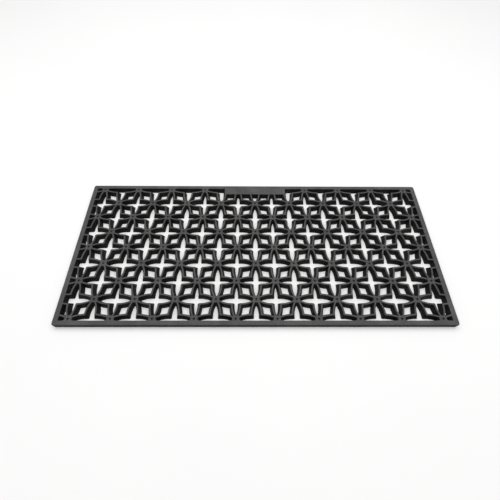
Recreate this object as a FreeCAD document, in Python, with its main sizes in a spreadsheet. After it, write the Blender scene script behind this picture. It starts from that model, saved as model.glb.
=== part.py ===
import FreeCAD, Part

# Openwork rubber door mat, in millimetres.
# The mat lies on the floor: origin at the centre of its underside, X along its length, Y towards
# its back edge, +Z up. A grid of hubs carries curved ribs that draw eight-ribbed flowers. Hubs on
# odd grid lines have wide petals, hubs on even grid lines have narrow ones. Every opening in the
# rubber is drafted: ribs and hubs are narrow on top and broad where they meet the floor.

import math
import os
import re

import Sketcher

SIZES = [
    ("overall_length", 900, "along X, over the borders"),
    ("overall_width", 400, "along Y, over the borders"),
    ("thickness", 14, "height of the mat above the floor"),
    ("pitch", 46.3, "grid spacing of the hubs"),
    ("columns", 18, "grid squares along X"),
    ("rows", 8, "grid squares along Y"),
    ("side_border_width", 11.8, "left and right borders"),
    ("end_border_width", 10.6, "front and back borders"),
    ("corner_radius", 5.5, "outer corners, seen from above"),
    ("edge_radius", 2.3, "outer top edge of the borders"),
    ("rib_top_width", 3.6, "rib width on the tread face"),
    ("rib_base_width", 12, "rib width on the floor"),
    ("wide_radius", 65, "curve of a rib along a wide petal"),
    ("wide_crest_at", 36.2, "distance from the hub to the widest place"),
    ("wide_crest", 11.6, "from the petal's middle line to that rib"),
    ("narrow_radius", 77, "curve of a rib along a narrow petal"),
    ("narrow_crest_at", 35.2, "distance from the hub to the widest place"),
    ("narrow_crest", 9.6, "from the petal's middle line to that rib"),
    ("hub_width", 15.6, "round hub between the ribs, at the tread face"),
    ("hub_drop", 0.9, "top of the hub below the tread face"),
    ("dimple_width", 4.6, "round dimple in the middle of a hub"),
    ("dimple_depth", 1, "depth of that dimple"),
    ("plate_length", 168, "blank label plate, along X"),
    ("plate_reach", 15.3, "label plate in front of the last hub line"),
]
ALIASES = {alias for alias, value, note in SIZES}
DRAFT = "atan((rib_base_width - rib_top_width) / 2 / thickness)"
TOE = "(rib_base_width - rib_top_width) / 2"
SIDE_FACE = "(overall_length / 2 - side_border_width)"
END_FACE = "(overall_width / 2 - end_border_width)"
END_MARGIN = "(overall_width / 2 - end_border_width - rows * pitch / 2)"
HALF_TURN = FreeCAD.Rotation(FreeCAD.Vector(0, 0, 1), 180)
START = 1
END = 2
CENTRE = 3
ORIGIN = (-1, 1)

doc = FreeCAD.newDocument("door_mat")


def make_sheet():
    sheet = doc.addObject("Spreadsheet::Sheet", "Sizes")
    for row, (alias, value, note) in enumerate(SIZES, start=1):
        sheet.set(f"A{row}", note)
        sheet.set(f"B{row}", str(value))
        sheet.setAlias(f"B{row}", alias)
    doc.recompute()
    return sheet


sizes = make_sheet()


# ---- formulas on the sheet -------------------------------------------------------------------


def bound(formula):
    """The formula with each size's name pointing at its cell."""
    return re.sub(r"[a-z_]+", lambda word: f"Sizes.{word[0]}" if word[0] in ALIASES else word[0], formula)


def value_of(formula):
    return float(sizes.evalExpression(bound(formula)))


def column_x(column):
    return f"({column} - columns / 2) * pitch"


# ---- sketches --------------------------------------------------------------------------------


def origin_feature(body, role):
    return next(feature for feature in body.Origin.OriginFeatures if feature.Role == role)


def add_sketch(body, name, plane="XY_Plane", height="0"):
    sketch = body.newObject("Sketcher::SketchObject", name)
    sketch.AttachmentSupport = (origin_feature(body, plane), [""])
    sketch.MapMode = "FlatFace"
    sketch.setExpression("AttachmentOffset.Base.z", bound(height))
    return sketch


def dimension(sketch, kind, places, formula):
    index = sketch.addConstraint(Sketcher.Constraint(kind, *places, value_of(formula)))
    sketch.setExpression(f"Constraints[{index}]", bound(formula))


def locate(sketch, curve, point, x, y):
    """Dimensions one point of a curve from the sketch's origin."""
    dimension(sketch, "DistanceX", (*ORIGIN, curve, point), x)
    dimension(sketch, "DistanceY", (*ORIGIN, curve, point), y)


def draw_polygon(sketch, corners):
    """A closed outline of straight lines. Each corner is a pair of formulas."""
    points = [FreeCAD.Vector(value_of(x), value_of(y), 0) for x, y in corners]
    lines = []
    for start, end in zip(points, points[1:] + points[:1]):
        lines.append(sketch.addGeometry(Part.LineSegment(start, end)))
    for line, following in zip(lines, lines[1:] + lines[:1]):
        sketch.addConstraint(Sketcher.Constraint("Coincident", line, END, following, START))
    for line, (x, y) in zip(lines, corners):
        locate(sketch, line, START, x, y)


def draw_rectangle(sketch, x_low, x_high, y_low, y_high):
    draw_polygon(sketch, [(x_low, y_low), (x_high, y_low), (x_high, y_high), (x_low, y_high)])


def draw_circle(sketch, x, y, diameter):
    centre = FreeCAD.Vector(value_of(x), value_of(y), 0)
    circle = sketch.addGeometry(Part.Circle(centre, FreeCAD.Vector(0, 0, 1), value_of(diameter) / 2))
    locate(sketch, circle, CENTRE, x, y)
    dimension(sketch, "Diameter", (circle,), diameter)


def crossing(first, second, near):
    """Where two circles, each (centre, radius), cross, on the side nearest to a point."""
    (centre, radius), (other_centre, other_radius) = first, second
    apart = other_centre - centre
    along = (apart.Length**2 + radius**2 - other_radius**2) / (2 * apart.Length)
    across = math.sqrt(radius**2 - along**2)
    ahead = apart / apart.Length
    aside = FreeCAD.Vector(-ahead.y, ahead.x, 0)
    foot = centre + ahead * along
    return min((foot + aside * across, foot - aside * across), key=near.distanceToPoint)


def arc_between(circle, start, end):
    """The short arc of a circle between two of its points, and whether it runs from start to end."""
    centre, radius = circle
    angles = [math.atan2(point.y - centre.y, point.x - centre.x) for point in (start, end)]
    forward = (angles[1] - angles[0]) % (2 * math.pi) < math.pi
    if not forward:
        angles.reverse()
    return Part.ArcOfCircle(Part.Circle(centre, FreeCAD.Vector(0, 0, 1), radius), *angles), forward


def draw_arc_outline(sketch, arcs):
    """A closed outline of arcs.

    Each arc is (x, y, radius, meets_x, meets_y): its centre and radius, then a place near the
    corner where it meets the next arc. All are formulas.
    """
    centres = [FreeCAD.Vector(value_of(arc[0]), value_of(arc[1]), 0) for arc in arcs]
    circles = [(centre, value_of(arc[2])) for centre, arc in zip(centres, arcs)]
    corners = []
    for circle, following, arc in zip(circles, circles[1:] + circles[:1], arcs):
        near = FreeCAD.Vector(value_of(arc[3]), value_of(arc[4]), 0)
        corners.append(crossing(circle, following, near))
    drawn = []
    for number, (circle, arc) in enumerate(zip(circles, arcs)):
        shape, forward = arc_between(circle, corners[number - 1], corners[number])
        curve = sketch.addGeometry(shape)
        locate(sketch, curve, CENTRE, arc[0], arc[1])
        dimension(sketch, "Radius", (curve,), arc[2])
        drawn.append((curve, (START, END) if forward else (END, START)))
    for (curve, ends), (following, next_ends) in zip(drawn, drawn[1:] + drawn[:1]):
        sketch.addConstraint(Sketcher.Constraint("Coincident", curve, ends[1], following, next_ends[0]))


# ---- features --------------------------------------------------------------------------------


def new_body(name):
    body = doc.addObject("PartDesign::Body", name)
    body.Label = name
    return body


def add_pad(body, sketch, length, reverse=False, both_ways=False):
    pad = body.newObject("PartDesign::Pad", f"{sketch.Name}_pad")
    pad.Profile = sketch
    pad.setExpression("Length", bound(length))
    pad.Reversed = reverse
    pad.SideType = "Symmetric" if both_ways else "One side"
    return pad


def add_pocket(body, sketch, depth, drafted=False):
    pocket = body.newObject("PartDesign::Pocket", f"{sketch.Name}_pocket")
    pocket.Profile = sketch
    pocket.Type = "Length"
    pocket.setExpression("Length", bound(depth))
    if drafted:
        pocket.setExpression("TaperAngle", bound(f"-{DRAFT}"))
    return pocket


def add_hub(body, name, x, y, half, turned=False):
    """A drafted round hub, or only the half of it inside the row."""
    cone = body.newObject("PartDesign::AdditiveCone", name)
    cone.AttachmentSupport = (origin_feature(body, "XY_Plane"), [""])
    cone.MapMode = "FlatFace"
    if turned:
        cone.AttachmentOffset = FreeCAD.Placement(FreeCAD.Vector(), HALF_TURN)
    cone.setExpression("AttachmentOffset.Base.x", bound(x))
    cone.setExpression("AttachmentOffset.Base.y", bound(y))
    cone.setExpression("Radius1", bound(f"hub_width / 2 + {TOE}"))
    cone.setExpression("Radius2", bound(f"hub_width / 2 + {TOE} * hub_drop / thickness"))
    cone.setExpression("Height", bound("thickness - hub_drop"))
    cone.Angle = 180 if half else 360
    return cone


def add_dimple(body, name, x, y):
    sketch = add_sketch(body, name, height="thickness")
    draw_circle(sketch, x, y, "dimple_width")
    return add_pocket(body, sketch, "dimple_depth")


def repeat_along_mat(body, name, features, count):
    """Repeats features along X, every second hub."""
    pattern = body.newObject("PartDesign::LinearPattern", name)
    pattern.Originals = features
    pattern.Direction = (origin_feature(body, "X_Axis"), [""])
    pattern.Mode = "Spacing"
    pattern.setExpression("Offset", bound("2 * pitch"))
    pattern.setExpression("Occurrences", bound(count))
    body.Tip = pattern
    return pattern


def add_fillet(body, base, name, wanted, radius):
    """Rounds the edges of a feature that pass a test."""
    doc.recompute()
    edges = [f"Edge{number}" for number, edge in enumerate(base.Shape.Edges, start=1) if wanted(edge)]
    fillet = body.newObject("PartDesign::Fillet", name)
    fillet.Base = (base, edges)
    fillet.setExpression("Radius", bound(radius))
    return fillet


def place(body, axis, distance, turned=False):
    """Stands a body off the mat's centre along an axis, turned end for end if asked."""
    if turned:
        body.Placement = FreeCAD.Placement(FreeCAD.Vector(), HALF_TURN)
    body.setExpression(f"Placement.Base.{axis}", bound(distance))


# ---- openings between the ribs ---------------------------------------------------------------


def square_arcs(hub_x, hub_y, way_x, way_y):
    """The opening between a wide-petalled hub and the narrow-petalled hub diagonally across."""
    far_x = f"{hub_x} + {way_x} * pitch"
    far_y = f"{hub_y} + {way_y} * pitch"
    wide = "wide_radius + rib_top_width / 2"
    narrow = "narrow_radius + rib_top_width / 2"
    return [
        (
            f"{hub_x} + {way_x} * wide_crest_at",
            f"{hub_y} + {way_y} * (wide_crest - wide_radius)",
            wide,
            f"{far_x} - {way_x} * narrow_crest",
            f"{hub_y} + {way_y} * wide_crest",
        ),
        (
            f"{far_x} - {way_x} * (narrow_crest - narrow_radius)",
            f"{far_y} - {way_y} * narrow_crest_at",
            narrow,
            far_x,
            far_y,
        ),
        (
            f"{far_x} - {way_x} * narrow_crest_at",
            f"{far_y} - {way_y} * (narrow_crest - narrow_radius)",
            narrow,
            f"{hub_x} + {way_x} * wide_crest",
            f"{far_y} - {way_y} * narrow_crest",
        ),
        (
            f"{hub_x} + {way_x} * (wide_crest - wide_radius)",
            f"{hub_y} + {way_y} * wide_crest_at",
            wide,
            hub_x,
            hub_y,
        ),
    ]


def cross_arcs(x, y, wide_along_x):
    """The opening of four petals that point from (x, y) to the four hubs round it."""
    arcs = []
    for ahead_x, ahead_y in ((1, 0), (0, 1), (-1, 0), (0, -1)):
        is_wide = (ahead_x != 0) == wide_along_x
        own, other = ("wide", "narrow") if is_wide else ("narrow", "wide")
        tip = (f"{x} + {ahead_x} * pitch", f"{y} + {ahead_y} * pitch")
        for side in (-1, 1):
            aside_x, aside_y = -side * ahead_y, side * ahead_x
            fork = (
                f"{x} + {ahead_x} * {other}_crest + {aside_x} * {own}_crest",
                f"{y} + {ahead_y} * {other}_crest + {aside_y} * {own}_crest",
            )
            centre_x = f"{tip[0]} - {ahead_x} * {own}_crest_at + {aside_x} * ({own}_crest - {own}_radius)"
            centre_y = f"{tip[1]} - {ahead_y} * {own}_crest_at + {aside_y} * ({own}_crest - {own}_radius)"
            meets = tip if side < 0 else fork
            arcs.append((centre_x, centre_y, f"{own}_radius - rib_top_width / 2", *meets))
    return arcs


# ---- sub-parts -------------------------------------------------------------------------------


def make_end_border(name, turned):
    """A border along the front or back, with the mat's two rounded corners at its ends."""
    body = new_body(name)
    sketch = add_sketch(body, f"{name}_outline")
    draw_rectangle(sketch, "-overall_length / 2", "overall_length / 2", "0", "end_border_width")
    bar = add_pad(body, sketch, "thickness")
    tall = value_of("thickness")
    inner = value_of("end_border_width")

    def is_outer_corner(edge):
        return edge.BoundBox.ZLength > tall / 2 and edge.BoundBox.YMax < inner / 2

    def is_outer_top_edge(edge):
        return edge.BoundBox.ZMin > tall / 2 and edge.BoundBox.YMin < inner / 2

    rounded = add_fillet(body, bar, f"{name}_corners", is_outer_corner, "corner_radius")
    add_fillet(body, rounded, f"{name}_edge", is_outer_top_edge, "edge_radius")
    place(body, "y", "overall_width / 2" if turned else "-overall_width / 2", turned)
    return body


def make_side_border(name, turned):
    """A border along the left or right, between the front and back ones."""
    body = new_body(name)
    sketch = add_sketch(body, f"{name}_outline")
    draw_rectangle(sketch, "0", "side_border_width", f"-{END_FACE}", END_FACE)
    bar = add_pad(body, sketch, "thickness")
    tall = value_of("thickness")
    inner = value_of("side_border_width")

    def is_outer_top_edge(edge):
        return edge.BoundBox.ZMin > tall / 2 and edge.BoundBox.XMax < inner / 2

    add_fillet(body, bar, f"{name}_edge", is_outer_top_edge, "edge_radius")
    place(body, "x", "overall_length / 2" if turned else "-overall_length / 2", turned)
    return body


def make_label_plate():
    """The blank plate at the middle of the back border, flush with the tread face."""
    body = new_body("label_plate")
    sketch = add_sketch(body, "label_plate_outline")
    depth = f"({END_MARGIN} + plate_reach)"
    draw_rectangle(sketch, "-plate_length / 2", "plate_length / 2", f"-{depth}", "0")
    add_pad(body, sketch, "thickness")
    place(body, "y", END_FACE)
    return body


def add_side_toes(body, name, margin):
    """Drafted feet that carry the openings' slope down the left and right borders."""
    sketch = add_sketch(body, f"{name}_side_toes", "XZ_Plane", margin)
    for way in (-1, 1):
        face = f"{way} * {SIDE_FACE}"
        draw_polygon(sketch, [(face, "0"), (f"{way} * ({SIDE_FACE} - {TOE})", "0"), (face, "thickness")])
    return add_pad(body, sketch, f"pitch + {margin}", reverse=True)


def add_long_toe(body, name, face, length):
    """A drafted foot along X, under an upright face that looks towards the openings."""
    sketch = add_sketch(body, name, "YZ_Plane")
    draw_polygon(sketch, [(face, "0"), (f"{face} + {TOE}", "0"), (face, "thickness")])
    return add_pad(body, sketch, length, both_ways=True)


def make_lattice_row(number, row_count):
    """One row of grid squares with its ribs, between two lines of hubs.

    Drawn with the narrow-petalled hubs along Y = 0 and the wide-petalled ones along Y = pitch. Even
    rows are turned end for end. The first and last rows also fill the margin to their border.
    """
    name = f"lattice_row_{number}"
    body = new_body(name)
    beside_border = number in (1, row_count)
    margin = END_MARGIN if beside_border else "0"
    slab = add_sketch(body, f"{name}_slab")
    draw_rectangle(slab, f"-{SIDE_FACE}", SIDE_FACE, f"-{margin}", "pitch")
    add_pad(body, slab, "thickness")

    openings = add_sketch(body, f"{name}_openings", height="thickness")
    draw_arc_outline(openings, square_arcs(column_x(-1), "pitch", 1, -1))
    draw_arc_outline(openings, square_arcs(column_x(1), "pitch", -1, -1))
    draw_arc_outline(openings, cross_arcs(column_x(0), "pitch", True))
    opened = add_pocket(body, openings, "thickness", drafted=True)
    repeat_along_mat(body, f"{name}_openings_repeat", [opened], "columns / 2 + 1")
    crosses = add_sketch(body, f"{name}_crosses", height="thickness")
    draw_arc_outline(crosses, cross_arcs(column_x(-1), "0", False))
    crossed = add_pocket(body, crosses, "thickness", drafted=True)
    repeat_along_mat(body, f"{name}_crosses_repeat", [crossed], "columns / 2 + 2")

    near_hub = add_hub(body, f"{name}_near_hub", column_x(0), "0", half=not beside_border)
    repeat_along_mat(body, f"{name}_near_hubs", [near_hub], "columns / 2 + 1")
    far_hub = add_hub(body, f"{name}_far_hub", column_x(1), "pitch", half=True, turned=True)
    repeat_along_mat(body, f"{name}_far_hubs", [far_hub], "columns / 2")
    near_dimple = add_dimple(body, f"{name}_near_dimple", column_x(0), "0")
    repeat_along_mat(body, f"{name}_near_dimples", [near_dimple], "columns / 2 + 1")
    far_dimple = add_dimple(body, f"{name}_far_dimple", column_x(1), "pitch")
    repeat_along_mat(body, f"{name}_far_dimples", [far_dimple], "columns / 2")

    add_side_toes(body, name, margin)
    if beside_border:
        trim = add_sketch(body, f"{name}_trim", height="thickness")
        draw_rectangle(trim, f"-{SIDE_FACE}", SIDE_FACE, "-hub_width", f"-{margin}")
        add_pocket(body, trim, "thickness")
        add_long_toe(body, f"{name}_border_toe", f"-{margin}", f"2 * {SIDE_FACE}")
    if number == row_count:
        add_long_toe(body, f"{name}_plate_toe", "plate_reach", "plate_length")
        cutout = add_sketch(body, f"{name}_plate_cutout", height="thickness")
        draw_rectangle(cutout, "-plate_length / 2", "plate_length / 2", f"-{margin}", "plate_reach")
        add_pocket(body, cutout, "thickness")

    turned = number % 2 == 0
    line = number if turned else number - 1
    place(body, "y", f"({line} - rows / 2) * pitch", turned)
    return body


def check(bodies):
    doc.recompute()
    for item in doc.Objects:
        if "Invalid" in item.State or "Error" in item.State:
            raise RuntimeError(f"{item.Name} failed: {item.State}")
    for body in bodies:
        shape = body.Shape
        if shape.isNull() or not shape.isValid() or len(shape.Solids) != 1:
            raise RuntimeError(f"{body.Label} is not one valid solid")


def write_parts(bodies):
    os.makedirs("parts", exist_ok=True)
    for body in bodies:
        body.Shape.exportStep(os.path.join("parts", f"{body.Label}.step"))
        box = body.Shape.optimalBoundingBox(True, False)
        print(
            f"{body.Label}: {body.Shape.Volume / 1000:.1f} cm3, "
            f"x {box.XMin:.2f} to {box.XMax:.2f}, y {box.YMin:.2f} to {box.YMax:.2f}, "
            f"z {box.ZMin:.2f} to {box.ZMax:.2f}"
        )


parts = [
    make_end_border("border_front", turned=False),
    make_end_border("border_back", turned=True),
    make_side_border("border_left", turned=False),
    make_side_border("border_right", turned=True),
    make_label_plate(),
]
row_count = int(value_of("rows"))
parts += [make_lattice_row(number, row_count) for number in range(1, row_count + 1)]
check(parts)
write_parts(parts)
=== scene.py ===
import math

import bmesh
import bpy
import numpy as np
from mathutils import Matrix, Vector


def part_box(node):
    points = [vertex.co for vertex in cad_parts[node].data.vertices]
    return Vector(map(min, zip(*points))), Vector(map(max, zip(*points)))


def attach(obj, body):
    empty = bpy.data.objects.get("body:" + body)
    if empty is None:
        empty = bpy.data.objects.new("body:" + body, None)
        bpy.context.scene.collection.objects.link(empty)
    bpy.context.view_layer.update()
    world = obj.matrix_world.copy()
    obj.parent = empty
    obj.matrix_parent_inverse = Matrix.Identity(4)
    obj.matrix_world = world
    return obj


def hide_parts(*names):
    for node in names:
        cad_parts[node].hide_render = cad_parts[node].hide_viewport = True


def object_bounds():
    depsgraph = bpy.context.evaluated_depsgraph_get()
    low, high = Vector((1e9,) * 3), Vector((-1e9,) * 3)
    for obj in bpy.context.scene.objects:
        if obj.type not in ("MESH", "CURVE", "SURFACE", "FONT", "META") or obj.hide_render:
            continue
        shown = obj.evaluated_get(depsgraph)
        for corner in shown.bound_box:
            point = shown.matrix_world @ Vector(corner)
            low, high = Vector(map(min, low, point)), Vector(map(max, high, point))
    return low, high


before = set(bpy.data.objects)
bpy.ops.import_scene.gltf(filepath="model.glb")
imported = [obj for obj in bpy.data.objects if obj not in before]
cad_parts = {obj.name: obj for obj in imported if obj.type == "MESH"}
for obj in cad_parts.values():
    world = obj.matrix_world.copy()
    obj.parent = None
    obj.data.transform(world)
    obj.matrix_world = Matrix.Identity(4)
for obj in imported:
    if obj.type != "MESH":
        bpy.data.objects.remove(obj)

# An openwork rubber door mat: a lattice of drafted ribs that spring from hubs on a square grid,
# held in a solid border, with a blank label plate at the back. Lengths are in metres.

cad_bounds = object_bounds()
MM = 0.001
ROWS = 8
COLUMNS = 18

# ---- sizes read from the frame ---------------------------------------------------------------

MAT_LOW, MAT_HIGH = (Vector(corner) for corner in cad_bounds)
PLATE_LOW, PLATE_HIGH = (Vector(corner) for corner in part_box("label_plate"))
THICKNESS = MAT_HIGH.z
SIDE_FACE = -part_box("border_left")[1][0]
END_FACE = -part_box("border_front")[1][1]
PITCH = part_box("lattice_row_4")[1][1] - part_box("lattice_row_4")[0][1]

# ---- sizes of the moulding -------------------------------------------------------------------

RIB_HALF_BASE = 6 * MM
RIB_HALF_TOP = 1.8 * MM
SHOULDER = 1.2 * MM
SHOULDER_STEPS = 5
DRAFT = math.atan2(RIB_HALF_BASE - RIB_HALF_TOP, THICKNESS)
SHOULDER_TURN = math.pi / 2 - DRAFT
SHOULDER_DROP = SHOULDER * (1 - math.cos(SHOULDER_TURN))
SHOULDER_REACH = SHOULDER * math.sin(SHOULDER_TURN)
RIB_HALF_FLAT = RIB_HALF_BASE - SHOULDER_REACH - (THICKNESS - SHOULDER_DROP) * math.tan(DRAFT)
FLAT_INSET = RIB_HALF_TOP - RIB_HALF_FLAT
TOE = RIB_HALF_BASE - RIB_HALF_TOP

# A rib's curve by a hub: how far it stands off the petal's middle line at its crest, how far
# out the crest lies, and the curve's radius.
WIDE_RIB = (11.6 * MM, 36.2 * MM, 65 * MM)
NARROW_RIB = (9.6 * MM, 35.2 * MM, 77 * MM)
HUB_RIM = 5 * MM
HUB_RIDGE = 0.66 * MM
HUB_HALF_BASE = 12.2 * MM
HUB_HALF_TOP = 8.2 * MM
HUB_STEPS = 8
HUB_SHOULDER_STEPS = 3
WEB_STEPS = 3
RIB_STEPS = 13
CORNER_CROWDING = 1.5
CORNER_SOFTENING = 9
CORNER_REACH = 3
DIMPLE_DEPTH = 1.6 * MM
DIMPLE_RADIUS = 2.3 * MM
DIMPLE_BLEND = 0.6 * MM
HUB_RINGS = (0.8, 0.64, 0.56, 0.48, 0.4, 0.32, 0.18)

CORNER_RADIUS = 5.5 * MM
CORNER_STEPS = 6
EDGE_RADIUS = 2.3 * MM
EDGE_STEPS = 7
SOLE_BEVEL = 0.6 * MM
SHARP_ANGLE = math.radians(35)
SAME_PLACE = 2e-6


def rib_height(offset):
    """Height of a rib's surface at a distance from its middle line."""
    away = abs(offset)
    if away <= RIB_HALF_FLAT:
        return THICKNESS
    if away <= RIB_HALF_FLAT + SHOULDER_REACH:
        reach = (away - RIB_HALF_FLAT) / SHOULDER
        return THICKNESS - SHOULDER * (1 - math.sqrt(1 - reach * reach))
    return max(0.0, (RIB_HALF_BASE - away) / math.tan(DRAFT))


def shoulder_offsets():
    """Distances from the middle line where a rib's rounded shoulder gets a row of points."""
    turns = [SHOULDER_TURN * step / SHOULDER_STEPS for step in range(SHOULDER_STEPS + 1)]
    return [RIB_HALF_FLAT + SHOULDER * math.sin(turn) for turn in turns]


def rib_offsets():
    """The rows of points across a rib, from the petal's side to the square opening's side."""
    shoulder = shoulder_offsets()
    petal_side = [-offset for offset in reversed(shoulder)]
    return [*petal_side, 0.0, HUB_RIDGE, *shoulder, RIB_HALF_BASE]


OFFSETS = rib_offsets()
RIDGE_ROW = OFFSETS.index(HUB_RIDGE)

# ---- one grid square of the lattice ----------------------------------------------------------


def circle_crossing(first, first_radius, second, second_radius, near):
    """Where two circles cross, at the crossing closer to a given point."""
    apart = second - first
    distance = np.hypot(*apart)
    along = (distance**2 + first_radius**2 - second_radius**2) / (2 * distance)
    across = math.sqrt(first_radius**2 - along**2)
    ahead = apart / distance
    aside = np.array([-ahead[1], ahead[0]])
    options = [first + ahead * along + side * aside * across for side in (1, -1)]
    return min(options, key=lambda point: np.hypot(*(point - near)))


def at_hub_distance(centre, radius, distance):
    """Where a row of a rib is at a distance from its hub, or on the petal's middle line."""
    if np.hypot(*centre) >= radius + distance:
        return np.array([distance, 0.0])
    beside_rib = np.array([distance, distance / 2])
    point = circle_crossing(centre, radius, np.zeros(2), distance, beside_rib)
    return point if point[1] > 0 else np.array([distance, 0.0])


def on_diagonal(centre, radius):
    """Where a rib's curve crosses the diagonal of its grid square."""
    total = centre.sum()
    run = (total + math.sqrt(total**2 - 2 * (centre @ centre - radius**2))) / 2
    return np.array([run, run])


def hub_profile(centre, radius):
    """Distances from the hub and heights down the round hub, from its rim to the floor."""
    tip = centre[0] - math.sqrt((radius - RIB_HALF_BASE) ** 2 - centre[1] ** 2)
    base = max(HUB_HALF_BASE, tip)
    top = THICKNESS - SHOULDER_DROP
    slope = math.atan2(base - HUB_HALF_TOP, top)
    turns = np.linspace(0, math.pi / 2 - slope, HUB_SHOULDER_STEPS + 1)
    reach = SHOULDER * np.sin(turns)
    drop = SHOULDER * (1 - np.cos(turns))
    flat = base - reach[-1] - (top - drop[-1]) * math.tan(slope)
    inner = np.linspace(HUB_RIM, flat, HUB_STEPS - HUB_SHOULDER_STEPS)[:-1]
    distances = [*inner, *(flat + reach), base]
    return distances, [*(inner * 0 + top), *(top - drop), 0.0]


def rib_rows(rib, other):
    """Points of one rib from its hub, at (0, 0), to the corner where it meets the other rib.

    The first row is where the rib's petal side runs into the round hub, and on to the floor.
    """
    crest, crest_at, radius = rib
    other_crest, other_at, other_radius = other
    centre = np.array([crest_at, crest - radius])
    other_centre = np.array([PITCH - other_crest + other_radius, PITCH - other_at])
    corner_near = np.array([PITCH - other_crest, crest])
    distances, heights = hub_profile(centre, radius)
    foot = []
    for distance, height in zip(distances, heights):
        flank = radius - RIB_HALF_BASE + height * math.tan(DRAFT)
        foot.append(at_hub_distance(centre, flank, distance))
    foot_angles = [math.atan2(*(point - centre)[::-1]) for point in foot]
    shares = 1 - (1 - np.linspace(0, 1, RIB_STEPS + 1)[1:]) ** CORNER_CROWDING
    rows = []
    for offset in [-RIB_HALF_BASE, *OFFSETS]:
        corner = circle_crossing(
            centre, radius + offset, other_centre, other_radius + offset, corner_near
        )
        last = math.atan2(*(corner - centre)[::-1])
        angles = [*foot_angles, *(foot_angles[-1] + (last - foot_angles[-1]) * shares)]
        if offset >= HUB_RIDGE:
            start = on_diagonal(centre, radius + offset)
        else:
            start = at_hub_distance(centre, radius + offset, HUB_RIM)
        first = math.atan2(*(start - centre)[::-1])
        stretch = (last - first) / (last - angles[0])
        angles = last - (last - np.array(angles)) * stretch
        points = centre + (radius + offset) * np.stack([np.cos(angles), np.sin(angles)], axis=1)
        if offset == -RIB_HALF_BASE:
            points[: len(foot)] = foot
        rows.append(points)
    return np.array(rows), np.array(distances), np.array(heights)


def soften_corner(rows, middle):
    """Rounds the corner where two ribs meet, in plan."""
    first, end = middle - CORNER_REACH, middle + CORNER_REACH + 1
    for _ in range(CORNER_SOFTENING):
        neighbours = rows[:, first - 1 : end - 1] + rows[:, first + 1 : end + 1]
        rows[:, first:end] = rows[:, first:end] / 2 + neighbours / 4
    return rows


def hub_height(point, centre, radius):
    """Height of the surface over a hub, with its dimple."""
    offset = np.hypot(*(point - centre)) - radius
    share = (DIMPLE_RADIUS + DIMPLE_BLEND - np.hypot(*point)) / (2 * DIMPLE_BLEND)
    share = min(1.0, max(0.0, share))
    surface = max(rib_height(offset), THICKNESS - SHOULDER_DROP)
    return surface - DIMPLE_DEPTH * share * share * (3 - 2 * share)


def far_side(points):
    """Turns points measured from the far hub into points measured from the near one."""
    return PITCH - points[..., ::-1]


def web_points(foot, distances):
    """Arcs over the round hub from the petal's middle line to the foot of the rib."""
    angles = np.arctan2(foot[:, 1], foot[:, 0])
    arcs = []
    for step in range(WEB_STEPS):
        turn = angles * step / WEB_STEPS
        arcs.append(np.stack([distances * np.cos(turn), distances * np.sin(turn)], axis=1))
    return np.array(arcs)


def grid_faces(index):
    """The quads of a grid of point numbers."""
    faces = []
    for low, high in zip(index, index[1:]):
        for column in range(len(low) - 1):
            faces.append((low[column], low[column + 1], high[column + 1], high[column]))
    return faces


class Net:
    """Points and faces gathered part by part."""

    def __init__(self):
        self.parts = []
        self.count = 0
        self.faces = []

    def add(self, points):
        """Adds points and returns their numbers."""
        numbers = np.arange(self.count, self.count + len(points))
        self.parts.append(points)
        self.count += len(points)
        return numbers


def add_hub(net, rib, rows, index, profile, place):
    """One eighth of a hub: its flank beside the rib, its top with the dimple, and its sole."""
    crest, crest_at, radius = rib
    centre = np.array([crest_at, crest - radius])
    distances, heights = profile
    steps = len(heights)
    arcs = web_points(rows[0, :steps], distances)
    web = net.add(np.column_stack([place(arcs).reshape(-1, 2), np.tile(heights, WEB_STEPS)]))
    web = np.concatenate([web.reshape(WEB_STEPS, steps), index[:1, :steps]])
    net.faces += grid_faces(web)
    rim = np.concatenate([arcs[:, 0], rows[: RIDGE_ROW + 2, 0]])
    above = np.concatenate([web[:-1, 0], index[: RIDGE_ROW + 2, 0]])
    for share in HUB_RINGS:
        ring = rim * share
        ring_heights = [hub_height(point, centre, radius) for point in ring]
        below = net.add(np.column_stack([place(ring), ring_heights]))
        net.faces += grid_faces([above, below])
        above = below
    middle = place(np.zeros(2))
    middle_height = hub_height(np.zeros(2), centre, radius)
    top, sole = net.add(np.array([[*middle, middle_height], [*middle, 0.0]]))
    for first, second in zip(above, above[1:]):
        net.faces.append((first, second, top))
    web_edge = [*web[:, -1], index[-1, steps - 1]]
    rib_edge = index[-1, :steps]
    for edge in (web_edge, rib_edge):
        for first, second in zip(edge, edge[1:]):
            net.faces.append((first, second, sole))


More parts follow.
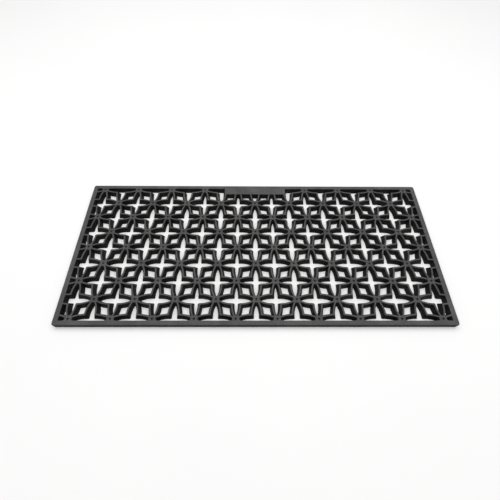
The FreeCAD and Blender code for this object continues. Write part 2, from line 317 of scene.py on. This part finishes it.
def half_square():
    """Points and faces of the half of a grid square below its diagonal.

    The wide hub is at (0, 0) and the narrow one at (PITCH, PITCH).
    """
    wide, *wide_profile = rib_rows(WIDE_RIB, NARROW_RIB)
    narrow, *narrow_profile = rib_rows(NARROW_RIB, WIDE_RIB)
    rows = np.concatenate([wide, far_side(narrow)[:, ::-1][:, 1:]], axis=1)
    rows = soften_corner(rows, wide.shape[1] - 1)
    row_count, column_count = rows.shape[:2]
    heights = np.zeros((row_count, column_count))
    for row, offset in enumerate(OFFSETS, start=1):
        heights[row] = rib_height(offset)
    wide_heights, narrow_heights = wide_profile[1], narrow_profile[1]
    steps = len(wide_heights)
    heights[0, :steps] = wide_heights
    heights[0, -steps:] = narrow_heights[::-1]
    net = Net()
    index = net.add(np.column_stack([rows.reshape(-1, 2), heights.reshape(-1)]))
    index = index.reshape(row_count, column_count)
    net.faces += grid_faces(index)
    foot, far_foot = index[0], index[-1]
    for column in range(steps - 1, column_count - steps):
        following = column + 1
        net.faces.append((foot[column], far_foot[column], far_foot[following], foot[following]))
    add_hub(net, WIDE_RIB, rows, index, wide_profile, lambda points: points)
    add_hub(net, NARROW_RIB, far_side(rows)[:, ::-1], index[:, ::-1], narrow_profile, far_side)
    return np.concatenate(net.parts), net.faces


def grid_square():
    """A whole grid square: the half and its mirror image across the diagonal."""
    points, faces = half_square()
    mirrored = points[:, [1, 0, 2]]
    shifted = [tuple(corner + len(points) for corner in reversed(face)) for face in faces]
    return np.concatenate([points, mirrored]), faces + shifted


# ---- the lattice rows ------------------------------------------------------------------------


def nearest_odd(number):
    """The odd grid line beside a grid square."""
    return number if number % 2 else number + 1


def placed_square(points, faces, column, row):
    """A grid square moved to its place, turned so that its wide hub is on odd grid lines."""
    hub_column, hub_row = nearest_odd(column), nearest_odd(row)
    way_x = 1 if hub_column == column else -1
    way_y = 1 if hub_row == row else -1
    placed = points * (way_x, way_y, 1)
    placed = placed + ((hub_column - COLUMNS / 2) * PITCH, (hub_row - ROWS / 2) * PITCH, 0)
    return placed, faces if way_x * way_y > 0 else [face[::-1] for face in faces]


def fill_flat_holes(mesh, axis, place):
    """Closes the open loops that lie in a plane across an axis."""

    def in_plane(edge):
        return all(abs(vertex.co[axis] - place) < SAME_PLACE for vertex in edge.verts)

    open_edges = [edge for edge in mesh.edges if len(edge.link_faces) < 2 and in_plane(edge)]
    bmesh.ops.holes_fill(mesh, edges=open_edges, sides=0)


def cut_across(mesh, axis, place, way=1, clear=False):
    """Cuts a mesh along a plane across an axis, and can clear away what lies beyond it."""
    plane, normal = Vector((0, 0, 0)), Vector((0, 0, 0))
    plane[axis] = place
    normal[axis] = way
    bmesh.ops.bisect_plane(
        mesh,
        geom=[*mesh.verts, *mesh.edges, *mesh.faces],
        dist=SAME_PLACE,
        plane_co=plane,
        plane_no=normal,
        clear_outer=clear,
    )


def cut_away(mesh, axis, place, way):
    """Cuts off everything beyond a plane and closes the cut."""
    cut_across(mesh, axis, place, way, clear=True)
    fill_flat_holes(mesh, axis, place)


def cut_out_plate(mesh):
    """Takes the lattice away where the label plate is."""
    low = Vector((PLATE_LOW.x + FLAT_INSET, PLATE_LOW.y + FLAT_INSET))
    high_x = PLATE_HIGH.x - FLAT_INSET
    cuts = ((0, low.x), (0, high_x), (1, low.y))
    for axis, place in cuts:
        cut_across(mesh, axis, place)

    def covered(face):
        middle = face.calc_center_median()
        return low.x < middle.x < high_x and middle.y > low.y

    bmesh.ops.delete(mesh, geom=[face for face in mesh.faces if covered(face)], context="FACES")
    for corner in (Vector((low.x, low.y)), Vector((high_x, low.y))):
        upright = [vert for vert in mesh.verts if (vert.co.xy - corner).length < SAME_PLACE]
        if len(upright) == 2:
            mesh.edges.new(upright)
    for axis, place in cuts:
        fill_flat_holes(mesh, axis, place)


def finish_mesh(name, mesh):
    """Turns a bmesh into an object, smooth except over sharp edges."""
    bmesh.ops.triangulate(mesh, faces=[face for face in mesh.faces if len(face.verts) > 4])
    bmesh.ops.recalc_face_normals(mesh, faces=mesh.faces)
    for face in mesh.faces:
        face.smooth = True
    for edge in mesh.edges:
        edge.smooth = edge.is_manifold and edge.calc_face_angle() < SHARP_ANGLE
    data = bpy.data.meshes.new(name)
    mesh.to_mesh(data)
    mesh.free()
    piece = bpy.data.objects.new(name, data)
    bpy.context.scene.collection.objects.link(piece)
    return piece


def mesh_from(points, faces):
    """A bmesh of points and faces, with the points that share a place made one."""
    mesh = bmesh.new()
    vertices = [mesh.verts.new(point) for point in points]
    for face in faces:
        mesh.faces.new([vertices[corner] for corner in face])
    bmesh.ops.remove_doubles(mesh, verts=mesh.verts, dist=SAME_PLACE)
    bmesh.ops.dissolve_degenerate(mesh, dist=SAME_PLACE, edges=mesh.edges)
    return mesh


def make_lattice_row(square, number):
    """One row of the lattice, closed along the hub lines and cut at the borders."""
    points, faces = square
    rows = [number - 1]
    if number == 1:
        rows.append(-1)
    if number == ROWS:
        rows.append(ROWS)
    all_points, all_faces, count = [], [], 0
    for row in rows:
        for column in range(-1, COLUMNS + 1):
            placed, turned = placed_square(points, faces, column, row)
            all_points.append(placed)
            all_faces += [tuple(corner + count for corner in face) for face in turned]
            count += len(placed)
    mesh = mesh_from(np.concatenate(all_points), all_faces)
    for hub_line in (number - 1, number):
        fill_flat_holes(mesh, 1, (hub_line - ROWS / 2) * PITCH)
    if number == 1:
        cut_away(mesh, 1, -END_FACE - FLAT_INSET, -1)
    if number == ROWS:
        cut_away(mesh, 1, END_FACE + FLAT_INSET, 1)
        cut_out_plate(mesh)
    cut_away(mesh, 0, -SIDE_FACE - FLAT_INSET, -1)
    cut_away(mesh, 0, SIDE_FACE + FLAT_INSET, 1)
    return finish_mesh(f"rubber_lattice_row_{number}", mesh)


# ---- borders and label plate -----------------------------------------------------------------


def border_section():
    """A border's outline, as points of (depth, opening, height).

    A point near the outer face has a depth in from that face. A point near the openings has its
    distance beyond the border's inner face instead.
    """
    outline = [(SOLE_BEVEL, None, 0.0), (0.0, None, SOLE_BEVEL)]
    for step in range(EDGE_STEPS + 1):
        turn = math.pi / 2 * step / EDGE_STEPS
        depth = EDGE_RADIUS * (1 - math.cos(turn))
        outline.append((depth, None, THICKNESS - EDGE_RADIUS * (1 - math.sin(turn))))
    for offset in shoulder_offsets():
        outline.append((None, RIB_HALF_TOP - offset, rib_height(offset)))
    outline.append((None, -TOE, 0.0))
    return outline


def corner_places(depth, opening):
    """Points round the front left corner for one line of a border's section."""
    if depth is None:
        inner = Vector((-SIDE_FACE - opening, -END_FACE - opening))
        return [inner] * (2 * CORNER_STEPS + 1)
    radius = CORNER_RADIUS - depth
    middle = Vector((MAT_LOW.x + CORNER_RADIUS, MAT_LOW.y + CORNER_RADIUS))
    turns = [math.pi / 2 * step / (2 * CORNER_STEPS) for step in range(2 * CORNER_STEPS + 1)]
    return [middle - radius * Vector((math.cos(turn), math.sin(turn))) for turn in turns]


def make_border(name, flip_x, flip_y, along_x):
    """One border with half of each corner, mitred at its ends."""
    section = border_section()
    lines = []
    for depth, opening, height in section:
        corner = corner_places(depth, opening)
        half = corner[CORNER_STEPS:] if along_x else corner[: CORNER_STEPS + 1][::-1]
        mirror = Vector((-1, 1)) if along_x else Vector((1, -1))
        other = [Vector((place.x * mirror.x, place.y * mirror.y)) for place in reversed(half)]
        lines.append([(place.x * flip_x, place.y * flip_y, height) for place in half + other])
    stations = len(lines[0])
    points = [place for line in lines for place in line]
    faces = []
    for line in range(len(lines)):
        following = (line + 1) % len(lines)
        for station in range(stations - 1):
            low, high = line * stations + station, following * stations + station
            faces.append((low, low + 1, high + 1, high))
    faces.append([line * stations for line in range(len(lines))])
    faces.append([line * stations + stations - 1 for line in range(len(lines))])
    return finish_mesh(name, mesh_from(points, faces))


def make_label_plate():
    """The blank plate: level with the tread, drafted at its front and ends."""
    rings = []
    for offset in [*shoulder_offsets(), RIB_HALF_BASE]:
        height = rib_height(offset)
        out = offset - RIB_HALF_TOP
        low_x, high_x = PLATE_LOW.x - out, PLATE_HIGH.x + out
        low_y, high_y = PLATE_LOW.y - out, END_FACE + FLAT_INSET
        ring = [(low_x, high_y), (low_x, low_y), (high_x, low_y), (high_x, high_y)]
        rings.append([(x, y, height) for x, y in ring])
    points = [point for ring in rings for point in ring]
    index = np.arange(len(points)).reshape(len(rings), -1)
    faces = []
    for upper, lower in zip(index, index[1:]):
        for side in range(len(upper)):
            following = (side + 1) % len(upper)
            faces.append((upper[side], upper[following], lower[following], lower[side]))
    faces += [tuple(index[0]), tuple(index[-1])]
    return finish_mesh("rubber_label_plate", mesh_from(points, faces))


# ---- materials -------------------------------------------------------------------------------


# Sockets that are reached by number, because their node has others of the same name.
COORDINATE_NORMAL, COORDINATE_OBJECT = 1, 3
SPLIT_Z = 2
MIX_SHARE, MIX_FIRST, MIX_SECOND, MIX_COLOUR = 0, 6, 7, 2


class Value:
    """A number that varies over a surface. Python's operators on it add Math nodes."""

    def __init__(self, shader, socket):
        self.shader = shader
        self.socket = socket

    def math(self, operation, first, second):
        inputs = {0: first, 1: second}
        return self.shader.add("ShaderNodeMath", {"operation": operation}, inputs)[0]

    def __add__(self, other):
        return self.math("ADD", self, other)

    def __sub__(self, other):
        return self.math("SUBTRACT", self, other)

    def __rsub__(self, other):
        return self.math("SUBTRACT", other, self)

    def __mul__(self, other):
        return self.math("MULTIPLY", self, other)

    __radd__ = __add__
    __rmul__ = __mul__


class Shader:
    """A material's node tree."""

    def __init__(self, name):
        self.material = bpy.data.materials.new(name)
        self.material.use_nodes = True
        self.tree = self.material.node_tree
        self.tree.nodes.clear()

    def add(self, kind, settings=None, inputs=None):
        """Adds a node: settings first, then values or links. Returns its outputs as Values."""
        node = self.tree.nodes.new(kind)
        for name, setting in (settings or {}).items():
            setattr(node, name, setting)
        for name, given in (inputs or {}).items():
            if isinstance(given, Value):
                self.tree.links.new(given.socket, node.inputs[name])
            else:
                node.inputs[name].default_value = given
        return [Value(self, socket) for socket in node.outputs]

    def places(self):
        """Where a point of the surface is, in metres."""
        return self.add("ShaderNodeTexCoord")[COORDINATE_OBJECT]

    def facing(self):
        """Which way the surface faces."""
        return self.add("ShaderNodeTexCoord")[COORDINATE_NORMAL]

    def upright_part(self, vector):
        return self.add("ShaderNodeSeparateXYZ", None, {0: vector})[SPLIT_Z]

    def noise(self, size, detail=2.0, roughness=0.5):
        """Even noise from 0 to 1 with features of about the given size."""
        inputs = {
            "Vector": self.places(),
            "Scale": 1 / size,
            "Detail": detail,
            "Roughness": roughness,
        }
        return self.add("ShaderNodeTexNoise", None, inputs)[0]

    def rise(self, value, low, high):
        """0 below low, 1 above high, and a smooth step between."""
        limits = {"Value": value, "From Min": low, "From Max": high}
        return self.add("ShaderNodeMapRange", {"interpolation_type": "SMOOTHSTEP"}, limits)[0]

    def blend(self, share, first, second):
        """Mixes two colours."""
        inputs = {MIX_SHARE: share, MIX_FIRST: first, MIX_SECOND: second}
        return self.add("ShaderNodeMix", {"data_type": "RGBA"}, inputs)[MIX_COLOUR]

    def surface(self, inputs):
        shader = self.add("ShaderNodeBsdfPrincipled", None, inputs)[0]
        self.add("ShaderNodeOutputMaterial", None, {"Surface": shader})
        return self.material


FRESH_RUBBER = (0.0065, 0.0060, 0.0062, 1)
# The next colour is the tread's lighter colour: part real wear, part painted sheen.
WORN_AND_SHEEN_RUBBER = (0.094, 0.090, 0.091, 1)
DUSTY_RUBBER = (0.135, 0.128, 0.124, 1)
SCUFFED_RUBBER = (0.045, 0.043, 0.042, 1)
GRAIN_SIZE = 0.7 * MM
PORE_SIZE = 2.2 * MM
CLOUD_SIZE = 9 * MM
FLOW_SIZE = 38 * MM
# Depths below the top over which the tread's wear and painted sheen fade out. Below them, as in
# the hub dimples, the rubber stays dark as painted shade.
WEAR_AND_SHEEN_STARTS = 1.5 * MM
WEAR_AND_SHEEN_FULL = 0.9 * MM
BUMP_STRENGTH = 0.35
BUMP_DEPTH = 0.35 * MM
FLOOR_TONES = ((0.90, 0.90, 0.90, 1), (0.93, 0.93, 0.925, 1))
FLOOR_CLOUD_SIZE = 400 * MM


def black_rubber():
    """Matt black rubber: fine grain, flow marks, a tread lighter from wear and painted sheen,
    hub dimples kept dark as painted shade, and dust where it settles.
    """
    shader = Shader("black_rubber")
    height = shader.upright_part(shader.places())
    upward = shader.upright_part(shader.facing())
    # The tread mask picks out faces that face up and lie near full height: partly real wear,
    # partly painted sheen on the tops. As a height mask it also leaves the hub dimples dark as
    # painted shade.
    high = shader.rise(height, THICKNESS - WEAR_AND_SHEEN_STARTS, THICKNESS - WEAR_AND_SHEEN_FULL)
    tread = high * shader.rise(upward, 0.35, 0.85)
    grain = shader.noise(GRAIN_SIZE, 3.0, 0.6)
    pores = shader.rise(shader.noise(PORE_SIZE), 0.52, 0.75)
    flow = shader.noise(FLOW_SIZE, 3.0)
    cloud = shader.noise(CLOUD_SIZE, 4.0, 0.6)
    # Dust mottling, laid more heavily on the tread, where it adds to the painted sheen of the
    # tops.
    dust = shader.rise(cloud * 0.6 + flow * 0.4, 0.42, 0.66) * (tread * 0.7 + 0.3)
    underneath = shader.rise(0 - upward, 0.5, 0.9)
    # Lighter colour on the tread: wear plus painted sheen.
    colour = shader.blend(tread * (0.55 + flow * 0.5), FRESH_RUBBER, WORN_AND_SHEEN_RUBBER)
    colour = shader.blend(dust * 0.35, colour, DUSTY_RUBBER)
    colour = shader.blend(pores * 0.35, colour, FRESH_RUBBER)
    colour = shader.blend(underneath * (0.6 + dust * 0.4), colour, SCUFFED_RUBBER)
    roughness = 0.52 + cloud * 0.16 + grain * 0.08 + dust * 0.1
    relief = grain * 0.5 + cloud * 0.9 - pores * 0.25
    bump_inputs = {"Strength": BUMP_STRENGTH, "Distance": BUMP_DEPTH, "Height": relief}
    bump = shader.add("ShaderNodeBump", None, bump_inputs)[0]
    return shader.surface(
        {
            "Base Color": colour,
            "Roughness": roughness,
            "Specular IOR Level": 0.18,
            "IOR": 1.5,
            "Normal": bump,
        }
    )


def pale_floor():
    """A plain matt studio floor, very slightly uneven in tone."""
    shader = Shader("pale_floor")
    colour = shader.blend(shader.noise(FLOOR_CLOUD_SIZE), *FLOOR_TONES)
    return shader.surface({"Base Color": colour, "Roughness": 0.8, "Specular IOR Level": 0.2})


# ---- the studio ------------------------------------------------------------------------------

CAMERA_PLACE = Vector((-21.7, -405.1, 696.1)) * MM
CAMERA_DOWN = math.radians(59.87)
CAMERA_YAW = math.radians(1.094)
CAMERA_ROLL = math.radians(1.062)
CAMERA_LENS = 22.764
CAMERA_SENSOR = 36
CAMERA_NEAREST = 0.01
OVERHEAD_PLACE = (0, 0.45, 2.4)
OVERHEAD_TARGET = (0, 0.2, 0)
OVERHEAD_SIZE = (4.4, 3.4)
OVERHEAD_POWER = 79
ROOM_LIGHT = 0.4
FLOOR_HALF = 6.0


def add_camera():
    forward = Vector(
        (
            math.sin(CAMERA_YAW) * math.cos(CAMERA_DOWN),
            math.cos(CAMERA_YAW) * math.cos(CAMERA_DOWN),
            -math.sin(CAMERA_DOWN),
        )
    )
    level = Vector((math.cos(CAMERA_YAW), -math.sin(CAMERA_YAW), 0))
    upright = level.cross(forward)
    right = level * math.cos(CAMERA_ROLL) + upright * math.sin(CAMERA_ROLL)
    up = upright * math.cos(CAMERA_ROLL) - level * math.sin(CAMERA_ROLL)
    data = bpy.data.cameras.new("camera")
    data.lens = CAMERA_LENS
    data.sensor_width = CAMERA_SENSOR
    data.clip_start = CAMERA_NEAREST
    camera = bpy.data.objects.new("camera", data)
    turned = Matrix((right, up, -forward)).transposed().to_4x4()
    camera.matrix_world = Matrix.Translation(CAMERA_PLACE) @ turned
    bpy.context.scene.collection.objects.link(camera)
    bpy.context.scene.camera = camera


def add_soft_light(name, place, target, size, power):
    data = bpy.data.lights.new(name, "AREA")
    data.shape = "RECTANGLE"
    data.size, data.size_y = size
    data.energy = power
    light = bpy.data.objects.new(name, data)
    light.location = place
    light.rotation_euler = (Vector(target) - Vector(place)).to_track_quat("-Z", "Y").to_euler()
    bpy.context.scene.collection.objects.link(light)


def add_studio():
    scene = bpy.context.scene
    scene.view_settings.view_transform = "Standard"
    world = bpy.data.worlds.new("studio")
    world.use_nodes = True
    background = world.node_tree.nodes["Background"]
    background.inputs["Color"].default_value = (1, 1, 1, 1)
    background.inputs["Strength"].default_value = ROOM_LIGHT
    scene.world = world
    add_soft_light("overhead", OVERHEAD_PLACE, OVERHEAD_TARGET, OVERHEAD_SIZE, OVERHEAD_POWER)
    data = bpy.data.meshes.new("floor")
    half = FLOOR_HALF
    corners = [(-half, -half, 0), (half, -half, 0), (half, half, 0), (-half, half, 0)]
    data.from_pydata(corners, [], [(0, 1, 2, 3)])
    floor = bpy.data.objects.new("floor", data)
    data.materials.append(pale_floor())
    scene.collection.objects.link(floor)


# ---- the mat ---------------------------------------------------------------------------------


def mount(piece, node, rubber):
    """Gives a piece its rubber and puts it in the place of its node."""
    piece.data.materials.append(rubber)
    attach(piece, "root")
    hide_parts(node)


def make_mat():
    rubber = black_rubber()
    square = grid_square()
    for number in range(1, ROWS + 1):
        mount(make_lattice_row(square, number), f"lattice_row_{number}", rubber)
    mount(make_border("rubber_border_front", 1, 1, True), "border_front", rubber)
    mount(make_border("rubber_border_back", 1, -1, True), "border_back", rubber)
    mount(make_border("rubber_border_left", 1, 1, False), "border_left", rubber)
    mount(make_border("rubber_border_right", -1, 1, False), "border_right", rubber)
    mount(make_label_plate(), "label_plate", rubber)


add_camera()
add_studio()
make_mat()
